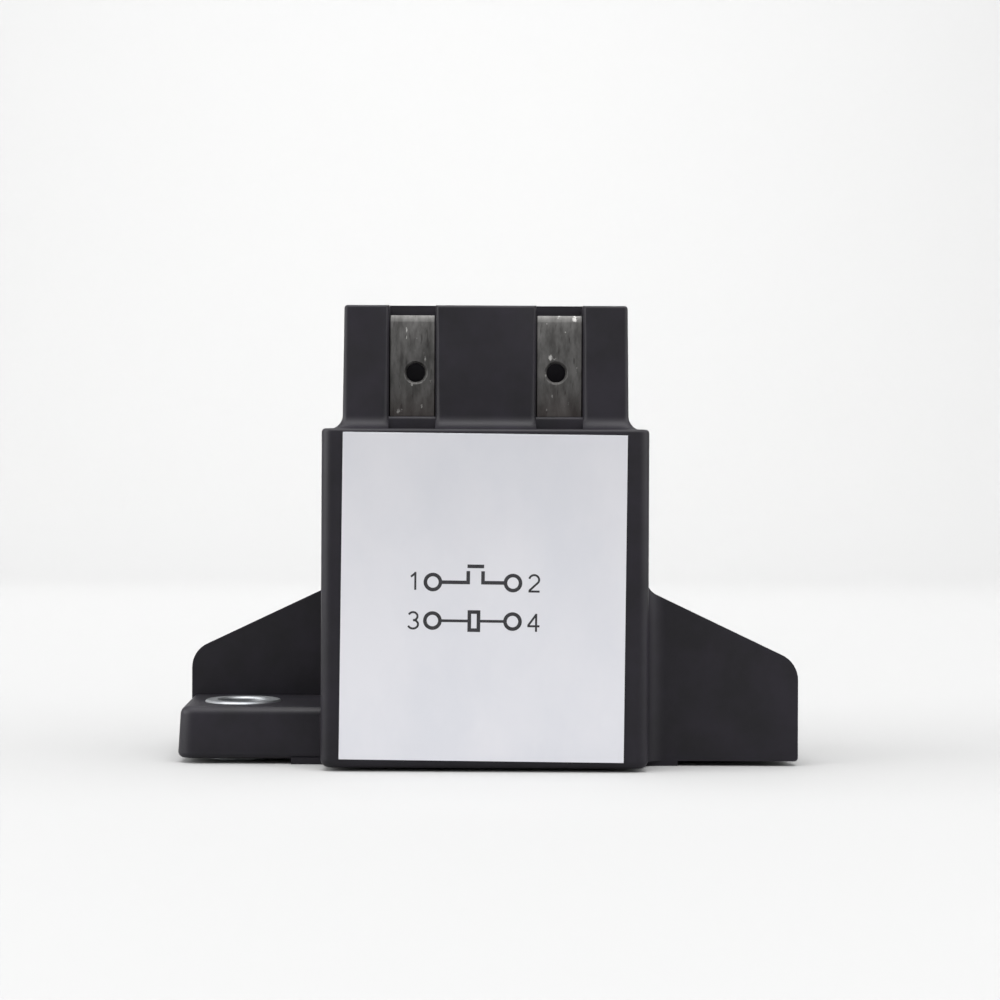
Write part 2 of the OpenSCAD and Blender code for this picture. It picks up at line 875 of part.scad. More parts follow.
// Moulded former of the coil, with notches for the coil terminals in its top flange
module bobbin() {
    flange_y_low = min(flange_y, winding_r + loose);
    color("#23486b")
        difference() {
            union() {
                translate([0, 0, coil_low])
                    cylinder(d = bobbin_od, h = plate_low - coil_low);
                translate([0, 0, coil_low])
                    linear_extrude(flange_t)
                        round_rect(2 * flange_x, 2 * flange_y_low, room_r);
                translate([0, 0, winding_top])
                    linear_extrude(flange_t)
                        round_rect(2 * flange_x, 2 * flange_y, room_r);
            }
            translate([0, 0, coil_low - OVER])
                cylinder(d = bobbin_bore, h = plate_low - coil_low + 2 * OVER);
            for (side = [-1, 1])
                translate([side * tab_pitch / 2 - tab_w / 2 - fit, -tab_y - tab_t - fit, winding_top - OVER])
                    cube([tab_w + 2 * fit, wall + tab_inset + tab_t, flange_t + 2 * OVER]);
        }
}

module coil_winding() {
    color("#a8532d")
        translate([0, 0, winding_low + fit])
            difference() {
                cylinder(r = winding_r, h = winding_top - winding_low - 2 * fit);
                translate([0, 0, -OVER])
                    cylinder(d = bobbin_od + 2 * fit, h = winding_top - winding_low + 2 * OVER);
            }
}

// The two ends of the winding, run out to the coil terminals
module coil_leads() {
    start_y = sqrt(pow(winding_r + fit, 2) - pow(lead_x, 2));
    color("#b9682f")
        for (side = [-1, 1])
            translate([side * tab_pitch / 2, start_y, lead_z])
                rotate([-90, 0, 0])
                    cylinder(d = lead_d, h = lead_end - start_y);
}

// Thin cup that guides the plunger
module guide_sleeve() {
    color("#c2a55b")
        translate([0, 0, cover_top])
            difference() {
                cylinder(d = sleeve_od, h = plate_low - cover_top - fit);
                translate([0, 0, sleeve_t])
                    cylinder(d = sleeve_id, h = plate_low - cover_top);
            }
}

// Fixed pole, riveted in the yoke plate, with the return spring's upper pocket
module fixed_core() {
    color("#9a9ea2")
        difference() {
            union() {
                translate([0, 0, core_low])
                    cylinder(d = plunger_d, h = plate_low - core_low - fit);
                translate([0, 0, core_low])
                    cylinder(d = neck_d, h = plate_top - core_low);
            }
            translate([0, 0, core_low - OVER])
                cylinder(d = shaft_d + 2 * run, h = plate_top - core_low + 2 * OVER);
            translate([0, 0, core_low - OVER])
                cylinder(d = pocket_d, h = core_pocket + OVER);
        }
}

module stop_pad() {
    color("#1f1f21")
        translate([0, 0, cover_top + sleeve_t])
            cylinder(d = sleeve_id - 2 * loose, h = stop_pad_t);
}

// Moving pole, with the shaft pressed into it
module plunger() {
    color("#9a9ea2")
        translate([0, 0, plunger_low])
            difference() {
                cylinder(d = plunger_d, h = plunger_l);
                translate([0, 0, -OVER])
                    cylinder(d = shaft_d + 2 * fit, h = plunger_l + 2 * OVER);
                translate([0, 0, plunger_l - plunger_pocket])
                    cylinder(d = pocket_d, h = plunger_pocket + OVER);
            }
}

// Turned rod with a groove for the clip
module shaft() {
    r = shaft_d / 2;
    color("#b4b7ba")
        rotate_extrude()
            polygon([
                [0, shaft_low],
                [r - shaft_chamfer, shaft_low],
                [r, shaft_low + shaft_chamfer],
                [r, clip_low - closed_gap],
                [groove_d / 2, clip_low - closed_gap],
                [groove_d / 2, clip_low - closed_gap + groove_h],
                [r, clip_low - closed_gap + groove_h],
                [r, shaft_top - shaft_chamfer],
                [r - shaft_chamfer, shaft_top],
                [0, shaft_top]
            ]);
}

// Collar pressed on the shaft, under the contact spring
module spring_seat() {
    color("#b4b7ba")
        translate([0, 0, seat_low])
            difference() {
                cylinder(d = contact_spring_d + 2 * loose, h = seat_t);
                translate([0, 0, -OVER])
                    cylinder(d = shaft_d + 2 * fit, h = seat_t + 2 * OVER);
            }
}

// Clip in the shaft's groove, open on one side, that holds the bridge down on its spring
module retaining_clip() {
    color("#6f7377")
        translate([0, 0, clip_low])
            linear_extrude(clip_t)
                difference() {
                    circle(d = clip_d);
                    circle(d = groove_d + 2 * fit);
                    translate([0, -groove_d / 2 + fit])
                        square([clip_d, groove_d - 2 * fit]);
                }
}

module return_spring() {
    color("#8f9498")
        translate([0, 0, return_low + closed_gap])
            spring(return_spring_d, spring_wire, return_turns, return_top - return_low - 2 * closed_gap);
}

module contact_spring() {
    color("#8f9498")
        translate([0, 0, seat_top + closed_gap])
            spring(contact_spring_d, spring_wire, contact_turns, contact_spring_l - 2 * closed_gap);
}

case();
base_cover();
label();
mounting_bushing_left();
mounting_bushing_right();
load_terminal_left();
load_terminal_right();
coil_terminal_left();
coil_terminal_right();
fixed_contact_tips();
moving_contact_tips();
contact_bridge();
arc_chamber();
chamber_lid();
blowout_magnet_left();
blowout_magnet_right();
yoke();
yoke_plate();
bobbin();
coil_winding();
coil_leads();
guide_sleeve();
fixed_core();
stop_pad();
plunger();
shaft();
spring_seat();
retaining_clip();
return_spring();
contact_spring();
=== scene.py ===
"""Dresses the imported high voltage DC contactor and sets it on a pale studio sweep.

A name that ends in _mm holds millimetres and one that ends in _m holds metres, as meshes do.
"""

import logging
import math
from dataclasses import dataclass, field
from enum import Enum
from typing import Any, Sequence

import bmesh
import bpy
from mathutils import Matrix, Vector


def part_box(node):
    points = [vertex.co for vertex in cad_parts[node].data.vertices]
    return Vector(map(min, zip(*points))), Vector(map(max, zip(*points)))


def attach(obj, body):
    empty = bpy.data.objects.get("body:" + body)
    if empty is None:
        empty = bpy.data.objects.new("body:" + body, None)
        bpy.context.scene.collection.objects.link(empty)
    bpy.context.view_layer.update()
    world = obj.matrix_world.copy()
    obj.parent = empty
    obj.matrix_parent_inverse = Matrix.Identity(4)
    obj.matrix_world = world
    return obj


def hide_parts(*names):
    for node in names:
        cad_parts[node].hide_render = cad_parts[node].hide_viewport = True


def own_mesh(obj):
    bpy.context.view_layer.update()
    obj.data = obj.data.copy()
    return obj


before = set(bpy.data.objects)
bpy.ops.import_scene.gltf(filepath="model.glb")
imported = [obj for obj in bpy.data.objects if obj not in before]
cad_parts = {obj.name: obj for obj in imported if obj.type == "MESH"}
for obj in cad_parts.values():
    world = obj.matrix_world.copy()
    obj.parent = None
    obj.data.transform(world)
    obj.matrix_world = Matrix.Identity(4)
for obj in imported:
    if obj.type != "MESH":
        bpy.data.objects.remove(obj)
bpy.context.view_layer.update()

LOG = logging.getLogger("contactor")
MM = 0.001

Tree = bpy.types.NodeTree
Socket = bpy.types.NodeSocket
Piece = bpy.types.Object
Colour = tuple[float, float, float, float]
Sizes = tuple[float, float, float]
Point = tuple[float, float]

# Octaves of the noise behind a colour's mottle, and behind grain, spots and patches of roughness
MOTTLE_DETAIL = 4.0
FINE_DETAIL = 3.0
NOISE_ROUGHNESS = 0.6
# Noise values between which a mottle turns from its dark tone to its light one
TONES_AT = (0.35, 0.65)
# Noise values at which a patch reaches the limits of roughness, and its size in mottle sizes
PATCHES_AT = (0.3, 0.7)
PATCH_SIZE = 3
# Colour sockets of a Mix node, which share their names with its sockets of other kinds
MIX_UNDER, MIX_OVER, MIX_RESULT = 6, 7, 2


class Body(Enum):
    """The CAD bodies that pieces ride on."""

    HOUSING = "housing"
    ARMATURE = "armature"
    BRIDGE = "bridge"


class Slot(Enum):
    """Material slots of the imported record."""

    MOULDING = "black_moulding"
    LABEL = "label_film"
    BUSHING = "plated_steel"
    TAB = "tinned_brass"
    TIPS = "silver_alloy"
    BRIDGE = "copper"
    CHAMBER = "thermoset"
    MAGNET = "ferrite"
    IRON = "magnetic_steel"
    BOBBIN = "bobbin_plastic"
    WIRE = "magnet_wire"
    SLEEVE = "sleeve_brass"
    PAD = "rubber"
    SHAFT = "turned_steel"
    SPRING = "spring_steel"


class Numeral(Enum):
    """Numbers of the terminals."""

    ONE = 1
    TWO = 2
    THREE = 3
    FOUR = 4


def linear(hex_colour: str) -> Colour:
    """Turns an sRGB hex colour into linear RGBA, by the standard's own curve.

    Args:
        hex_colour: Six hex digits with a leading #.

    Returns:
        The colour as linear red, green, blue and an alpha of one.
    """
    parts = [int(hex_colour[i:i + 2], 16) / 255 for i in (1, 3, 5)]
    red, green, blue = (p / 12.92 if p <= 0.04045 else ((p + 0.055) / 1.055) ** 2.4
                        for p in parts)
    return red, green, blue, 1.0


def per_mm(size_mm: float) -> float:
    """Scale of a noise whose features are size_mm across, on coordinates in metres."""
    return 1 / (size_mm * MM)


def even(size_mm: float) -> Sizes:
    """The same size along X, Y and Z."""
    return size_mm, size_mm, size_mm


def add_node(tree: Tree, kind: str, values: dict[Any, Any] | None = None,
             **settings: Any) -> bpy.types.Node:
    """Adds one node with its settings, values and links.

    Args:
        tree: The node tree that takes it.
        kind: The node's type name.
        values: Input name or number to a constant, or to an output socket that is linked to it.
        settings: Attributes of the node itself.

    Returns:
        The new node.
    """
    node = tree.nodes.new(kind)
    for key, value in settings.items():
        setattr(node, key, value)
    for key, value in (values or {}).items():
        if isinstance(value, Socket):
            tree.links.new(value, node.inputs[key])
        else:
            node.inputs[key].default_value = value
    return node


@dataclass(frozen=True)
class Finish:
    """A finish with a soft mottle in its colour and roughness, and a fine grain in its bump.

    The colours are sRGB hex values, and rough holds the two limits of the roughness.
    """

    name: str
    dark: str
    light: str
    rough: Point
    metallic: float = 0.0
    ior: float = 1.5
    coat: float = 0.0
    mottle_mm: Sizes = even(4.0)
    grain_mm: Sizes = even(0.3)
    grain_depth_mm: float = 0.004
    grain_strength: float = 0.5

    def pattern(self, tree: Tree, size_mm: Sequence[float], detail: float) -> Socket:
        """Noise stretched to the given feature sizes, on the piece's own coordinates.

        Args:
            tree: The material's node tree.
            size_mm: Feature size along X, Y and Z.
            detail: Octaves of the noise.

        Returns:
            The noise's value socket.
        """
        place = add_node(tree, "ShaderNodeTexCoord")
        stretch = add_node(tree, "ShaderNodeMapping", {
            "Vector": place.outputs["Object"], "Scale": tuple(per_mm(s) for s in size_mm)})
        noise = add_node(tree, "ShaderNodeTexNoise", {
            "Vector": stretch.outputs["Vector"], "Scale": 1.0, "Detail": detail,
            "Roughness": NOISE_ROUGHNESS})
        return noise.outputs["Fac"]

    def colour(self, tree: Tree) -> Socket:
        """Base colour: the two tones, mixed by the mottle.

        Args:
            tree: The material's node tree.

        Returns:
            The colour's socket.
        """
        mottle = self.pattern(tree, self.mottle_mm, MOTTLE_DETAIL)
        ramp = add_node(tree, "ShaderNodeValToRGB", {"Fac": mottle})
        for stop, at, tone in zip(ramp.color_ramp.elements, TONES_AT, (self.dark, self.light)):
            stop.position = at
            stop.color = linear(tone)
        return ramp.outputs["Color"]

    def roughness(self, tree: Tree) -> Socket:
        """Roughness, varied between its two limits in patches.

        Args:
            tree: The material's node tree.

        Returns:
            The roughness's socket.
        """
        patches = self.pattern(tree, [PATCH_SIZE * s for s in self.mottle_mm], FINE_DETAIL)
        spread = add_node(tree, "ShaderNodeMapRange", {
            "Value": patches, "From Min": PATCHES_AT[0], "From Max": PATCHES_AT[1],
            "To Min": self.rough[0], "To Max": self.rough[1]})
        return spread.outputs["Result"]

    def height(self, tree: Tree) -> Socket:
        """Height of the fine grain, from nought to one."""
        return self.pattern(tree, self.grain_mm, FINE_DETAIL)

    def material(self) -> bpy.types.Material:
        """Builds the material, unless it is there already.

        Returns:
            The material. A metal keeps the shader's own IOR.
        """
        made = bpy.data.materials.get(self.name)
        if made:
            return made
        made = bpy.data.materials.new(self.name)
        made.use_nodes = True
        tree = made.node_tree
        tree.nodes.clear()
        bump = add_node(tree, "ShaderNodeBump", {
            "Height": self.height(tree), "Strength": self.grain_strength,
            "Distance": self.grain_depth_mm * MM})
        shader = add_node(tree, "ShaderNodeBsdfPrincipled", {
            "Base Color": self.colour(tree), "Roughness": self.roughness(tree),
            "Normal": bump.outputs["Normal"], "Metallic": self.metallic,
            "Coat Weight": self.coat})
        if not self.metallic:
            shader.inputs["IOR"].default_value = self.ior
        add_node(tree, "ShaderNodeOutputMaterial", {"Surface": shader.outputs["BSDF"]})
        return made


@dataclass(frozen=True)
class WornTin(Finish):
    """Tin plate that sockets have worn: smears, thin dark scratches and bright rubbed spots.

    A spot starts where its noise is above a value and is full a fade later. The foot of the tab
    is darkened by painted shade down to the sill, and its tip is lightened by a painted highlight.
    Each cover says how far a colour hides what is beneath.
    """

    scratch: str = "#2e2c2b"
    scratch_mm: Sizes = (0.4, 2.0, 2.6)
    scratch_above: float = 0.6
    scratch_cover: float = 0.6
    # Colour of the rubbed spots, and of the painted highlight on the tip's bevel
    rubbed_and_highlight: str = "#d6d5d2"
    rubbed_mm: Sizes = (0.9, 2.0, 1.3)
    rubbed_above: float = 0.64
    rubbed_cover: float = 0.7
    spot_fade: float = 0.07
    # Painted shade over the lowest part of the tab, darkest where it goes into the sill
    foot_shade: str = "#433c3b"
    foot_shade_mm: float = 3.5
    foot_shade_cover: float = 0.6
    foot_z_mm: float = 37.5
    tip_z_mm: float = 48.3
    # Painted highlight along the tip's bevel, in the same light colour as the rubbed spots
    tip_highlight_mm: float = 0.7
    tip_highlight_fade_mm: float = 0.05
    tip_highlight_cover: float = 0.07

    def blend(self, tree: Tree, under: Socket, value: Socket, limits: Point, cover: float,
              colour: str) -> Socket:
        """Fades one colour in over another as a value runs between two limits.

        Args:
            tree: The material's node tree.
            under: The colour beneath.
            value: The value socket that drives the fade.
            limits: Values at which the fade starts and ends.
            cover: How far the colour hides what is beneath, at the end.
            colour: The upper sRGB hex colour.

        Returns:
            The mixed colour's socket.
        """
        fade = add_node(tree, "ShaderNodeMapRange", {
            "Value": value, "From Min": limits[0], "From Max": limits[1],
            "To Min": 0.0, "To Max": cover})
        mixed = add_node(tree, "ShaderNodeMix", {
            "Factor": fade.outputs["Result"], MIX_UNDER: under, MIX_OVER: linear(colour)},
            data_type="RGBA")
        return mixed.outputs[MIX_RESULT]

    def spots(self, tree: Tree, under: Socket, size_mm: Sizes, above: float, cover: float,
              colour: str) -> Socket:
        """Lays spots of one colour over another, where a noise is high.

        Args:
            tree: The material's node tree.
            under: The colour beneath.
            size_mm: Feature size of the noise along X, Y and Z.
            above: Noise value at which a spot starts.
            cover: How far the spot hides what is beneath.
            colour: The spot's sRGB hex colour.

        Returns:
            The mixed colour's socket.
        """
        noise = self.pattern(tree, size_mm, FINE_DETAIL)
        return self.blend(tree, under, noise, (above, above + self.spot_fade), cover, colour)

    def colour(self, tree: Tree) -> Socket:
        """Smears, scratches and rubbed spots, then painted shade at the foot and a painted
        highlight at the tip.

        Args:
            tree: The material's node tree.

        Returns:
            The colour's socket.
        """
        made = Finish.colour(self, tree)
        made = self.spots(tree, made, self.scratch_mm, self.scratch_above, self.scratch_cover,
                          self.scratch)
        made = self.spots(tree, made, self.rubbed_mm, self.rubbed_above, self.rubbed_cover,
                          self.rubbed_and_highlight)
        place = add_node(tree, "ShaderNodeTexCoord")
        split = add_node(tree, "ShaderNodeSeparateXYZ", {"Vector": place.outputs["Object"]})
        rise = split.outputs["Z"]
        # Painted shade: darker down to the sill
        foot = ((self.foot_z_mm + self.foot_shade_mm) * MM, self.foot_z_mm * MM)
        made = self.blend(tree, made, rise, foot, self.foot_shade_cover, self.foot_shade)
        # Painted highlight along the tip's bevel
        start = self.tip_z_mm - self.tip_highlight_mm
        tip = ((start - self.tip_highlight_fade_mm) * MM, (start + self.tip_highlight_fade_mm) * MM)
        return self.blend(tree, made, rise, tip, self.tip_highlight_cover, self.rubbed_and_highlight)


# Most grains are finer on the real thing, and are drawn as coarse as they need to be to show

# Glass-filled nylon, spark-eroded mould: near black, faintly plum, with a dry grain drawn coarse
MOULDING = Finish("glass_filled_nylon_moulded", "#0e0c12", "#17141c", (0.44, 0.56), ior=1.36,
                  mottle_mm=even(5), grain_mm=even(0.22), grain_depth_mm=0.012,
                  grain_strength=0.35)
# Matte silver-grey polyester film: even, with a soft sheen and hardly any grain
FILM = Finish("polyester_label_film_matte", "#d9dae0", "#dfdfe4", (0.28, 0.34), metallic=0.6,
              mottle_mm=(9, 9, 14), grain_mm=even(0.18), grain_depth_mm=0.002,
              grain_strength=0.25)
# Black resin ink laid on by thermal transfer: dense, with a trace of the film showing through
INK = Finish("thermal_transfer_ink", "#141317", "#242328", (0.45, 0.6),
             mottle_mm=even(0.6), grain_mm=even(0.15), grain_depth_mm=0.001)
# Stamped brass with hot tin plate: grey, smeared along the draw of the strip, worn by sockets, with
# painted shade at the tab's foot and a painted highlight on its tip
TIN = WornTin("stamped_brass_tin_plated", "#474645", "#686766", (0.32, 0.5), metallic=1.0,
              mottle_mm=(1.1, 1.5, 3.2), grain_mm=(0.12, 0.3, 0.5), grain_depth_mm=0.006,
              grain_strength=0.4)
# Turned steel with bright zinc plate: fine turning lines that run round the axis
ZINC = Finish("turned_steel_zinc_plated", "#8d9093", "#a9abad", (0.4, 0.52), metallic=1.0,
              mottle_mm=even(1.6), grain_mm=(0.25, 0.25, 0.06), grain_depth_mm=0.003)
# Silver alloy contact rivet, coined: pale and satin
SILVER = Finish("silver_alloy_coined", "#c9c6be", "#dedbd4", (0.28, 0.42), metallic=1.0,
                mottle_mm=even(0.8), grain_mm=even(0.12), grain_depth_mm=0.003)
# Half-hard copper strip, blanked: warm, with rolling lines along its length
COPPER = Finish("copper_strip_blanked", "#a2623c", "#c07f55", (0.28, 0.42), metallic=1.0,
                mottle_mm=(4, 0.8, 0.8), grain_mm=(3, 0.12, 0.12))
# Thermoset moulding compound: chalky cream with darker flow marks
THERMOSET = Finish("thermoset_moulded", "#bdb6a3", "#d3cdbd", (0.55, 0.7),
                   mottle_mm=even(3), grain_mm=even(0.2), grain_depth_mm=0.01)
# Sintered ferrite, ground: charcoal with a dull metallic sparkle
FERRITE = Finish("ferrite_sintered_ground", "#3a3b3d", "#505255", (0.4, 0.55), metallic=0.4,
                 mottle_mm=even(0.5), grain_mm=(0.1, 0.1, 0.8))
# Soft magnetic steel, zinc plated: cool grey with faint rolling lines
IRON = Finish("magnetic_steel_plated", "#868a8e", "#a5a9ad", (0.32, 0.46), metallic=1.0,
              mottle_mm=even(2), grain_mm=(0.15, 0.15, 1.5))
# Nylon coil former, moulded: blue, slightly waxy
FORMER = Finish("nylon_coil_former_moulded", "#1d3d5c", "#26496b", (0.38, 0.5),
                grain_depth_mm=0.006)
# Enamelled copper wire: red-brown, bright under a clear coat of lacquer
ENAMEL = Finish("copper_wire_enamelled", "#8f4422", "#b2603a", (0.22, 0.34), metallic=0.7,
                coat=0.6, mottle_mm=(2, 2, 0.6), grain_mm=(0.4, 0.4, 0.1), grain_depth_mm=0.002)
# Deep-drawn brass cup: yellow, with faint draw lines up its side
DRAWN_BRASS = Finish("brass_deep_drawn", "#ad9150", "#cdb374", (0.22, 0.34), metallic=1.0,
                     mottle_mm=(1, 1, 6), grain_mm=(0.1, 0.1, 2), grain_depth_mm=0.003)
# Nitrile rubber, moulded: soft black
NITRILE = Finish("nitrile_rubber_moulded", "#161618", "#222224", (0.7, 0.85),
                 mottle_mm=even(2), grain_mm=even(0.15), grain_depth_mm=0.01)
# Free-cutting steel, turned: bright with turning lines round its axis
TURNED = Finish("free_cutting_steel_turned", "#a4a7aa", "#c4c7ca", (0.2, 0.32), metallic=1.0,
                mottle_mm=(1.2, 1.2, 0.4), grain_mm=(0.5, 0.5, 0.06))
# Hard-drawn spring wire: grey with lengthwise die lines
SPRING_WIRE = Finish("spring_wire_hard_drawn", "#7d8286", "#a3a8ac", (0.25, 0.38), metallic=1.0,
                     mottle_mm=(0.8, 0.8, 0.3), grain_mm=(0.3, 0.3, 0.08), grain_depth_mm=0.002)
# Seamless studio paper: even and dull
PAPER = Finish("seamless_paper", "#a1a1a1", "#a1a1a1", (0.9, 0.95), mottle_mm=even(60),
               grain_depth_mm=0.0, grain_strength=0.0)

# The finish and the slot of each CAD node in a group
Dressing = dict[str, tuple[Finish, Slot]]


def join_body(piece: Piece, body: Body, slot: Slot, *nodes: str) -> Piece:
    """Makes a piece ride on a body and stand for CAD nodes.

    Args:
        piece: The finished piece.
        body: The body that it rides on.
        slot: The record's slot that it belongs to. Not used.
        nodes: The CAD nodes that it stands for, if any.

    Returns:
        The same piece.
    """
    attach(piece, body.value)
    if nodes:
        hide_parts(*nodes)
    LOG.info("%s rides on %s", piece.name, body.value)
    return piece


def new_piece(name: str, mesh: bpy.types.Mesh, finish: Finish) -> Piece:
    """Links a mesh as an object at the origin, with its finish.

    Args:
        name: The piece's name.
        mesh: Its mesh, in place.
        finish: Its finish.

    Returns:
        The new object.
    """
    mesh.name = name
    mesh.materials.clear()
    mesh.materials.append(finish.material())
    piece = bpy.data.objects.new(name, mesh)
    bpy.context.scene.collection.objects.link(piece)
    return piece


def finished_mesh(made: bmesh.types.BMesh, name: str) -> bpy.types.Mesh:
    """Turns a mesh under construction into a finished one.

    Args:
        made: The mesh under construction, which is freed.
        name: The finished mesh's name.

    Returns:
        The finished mesh.
    """
    mesh = bpy.data.meshes.new(name)
    made.to_mesh(mesh)
    made.free()
    return mesh


@dataclass
class SoftenedCopy:
    """A copy of a CAD node with its triangles merged into faces and its sharp edges softened."""

    node: str
    finish: Finish
    slot: Slot
    edge_mm: float
    body: Body = Body.HOUSING
    name: str = ""
    sharp_deg: float = 35.0
    flat_deg: float = 0.4
    merge_mm: float = 0.0005
    segments: int = 2

    def mesh(self) -> bpy.types.Mesh:
        """The node's mesh, merged, cleared of flat edges and smooth between sharp edges.

        Returns:
            The copy's mesh.
        """
        made = bmesh.new()
        made.from_mesh(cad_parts[self.node].data)
        bmesh.ops.remove_doubles(made, verts=made.verts, dist=self.merge_mm * MM)
        bmesh.ops.dissolve_limit(made, angle_limit=math.radians(self.flat_deg),
                                 verts=made.verts, edges=made.edges, delimit=set())
        for face in made.faces:
            face.smooth = True
        limit = math.radians(self.sharp_deg)
        for edge in made.edges:
            edge.smooth = len(edge.link_faces) == 2 and edge.calc_face_angle(0.0) < limit
        return finished_mesh(made, self.node)

    def build(self) -> None:
        """Builds the piece and joins it to its body in place of the node."""
        piece = new_piece(self.name or f"{self.node}_softened", self.mesh(), self.finish)
        bevel = piece.modifiers.new("softened_edges", "BEVEL")
        bevel.width = self.edge_mm * MM
        bevel.segments = self.segments
        bevel.limit_method = "ANGLE"
        bevel.angle_limit = math.radians(self.sharp_deg)
        bevel.harden_normals = True
        join_body(piece, self.body, self.slot, self.node)


def dress_group(group: Dressing, body: Body, edge_mm: float) -> None:
    """Dresses the CAD nodes of one group by softened copies."""
    for node, (finish, slot) in group.items():
        SoftenedCopy(node, finish, slot, edge_mm, body).build()


@dataclass
class Housing:
    """The moulded case and its cover, the bushings, the tabs and the label's film."""

    edge_mm: float = 0.12
    metal_edge_mm: float = 0.05
    film_edge_mm: float = 0.02
    metal: Dressing = field(default_factory=lambda: {
        "mounting_bushing_left": (ZINC, Slot.BUSHING),
        "mounting_bushing_right": (ZINC, Slot.BUSHING),
        "load_terminal_left": (TIN, Slot.TAB),
        "load_terminal_right": (TIN, Slot.TAB),
        "coil_terminal_left": (TIN, Slot.TAB),
        "coil_terminal_right": (TIN, Slot.TAB)})

    def build(self) -> None:
        """Builds every piece of the housing."""
        for node, name in (("case", "moulded_case"), ("base_cover", "bottom_cover")):
            SoftenedCopy(node, MOULDING, Slot.MOULDING, self.edge_mm, name=name).build()
        dress_group(self.metal, Body.HOUSING, self.metal_edge_mm)
        SoftenedCopy("label", FILM, Slot.LABEL, self.film_edge_mm, name="label_film").build()


@dataclass(frozen=True)
class Bar:
    """One printed bar, by its middle and its size."""

    x_mm: float
    z_mm: float
    wide_mm: float
    high_mm: float


@dataclass(frozen=True)
class Symbol:
    """One row of the circuit diagram: bars between two rings, with a number beside each ring.

    row_mm is the row's height over the label's middle, and bars and numbers are placed from it.
    """

    row_mm: float
    bars: tuple[Bar, ...]
    numbers: tuple[tuple[Numeral, float, float], ...]


# Widths of the diagram's lines and of the thinner wires to the coil
LINE_MM = 0.38
WIRE_MM = 0.29
# The open contact of the load circuit: two wires, two posts and the bridge above them
CONTACT = Symbol(1.55, (
    Bar(-1.93, 0.0, 3.24, LINE_MM), Bar(2.2, 0.0, 2.68, LINE_MM),
    Bar(-0.5, 0.65, LINE_MM, 1.1), Bar(1.05, 0.65, LINE_MM, 1.1),
    Bar(0.28, 1.7, 1.75, LINE_MM)),
    ((Numeral.ONE, -6.15, 0.1), (Numeral.TWO, 6.42, 0.0)))
# The coil of the control circuit: two wires and the four sides of the coil's box
COIL = Symbol(-2.49, (
    Bar(-1.88, 0.0, 2.9, WIRE_MM), Bar(2.03, 0.0, 2.6, WIRE_MM),
    Bar(-0.33, 0.0, LINE_MM, 1.52), Bar(0.63, 0.0, LINE_MM, 1.52),
    Bar(0.15, -0.95, 1.34, LINE_MM), Bar(0.15, 0.95, 1.34, LINE_MM)),
    ((Numeral.THREE, -6.2, 0.0), (Numeral.FOUR, 6.42, -0.1)))


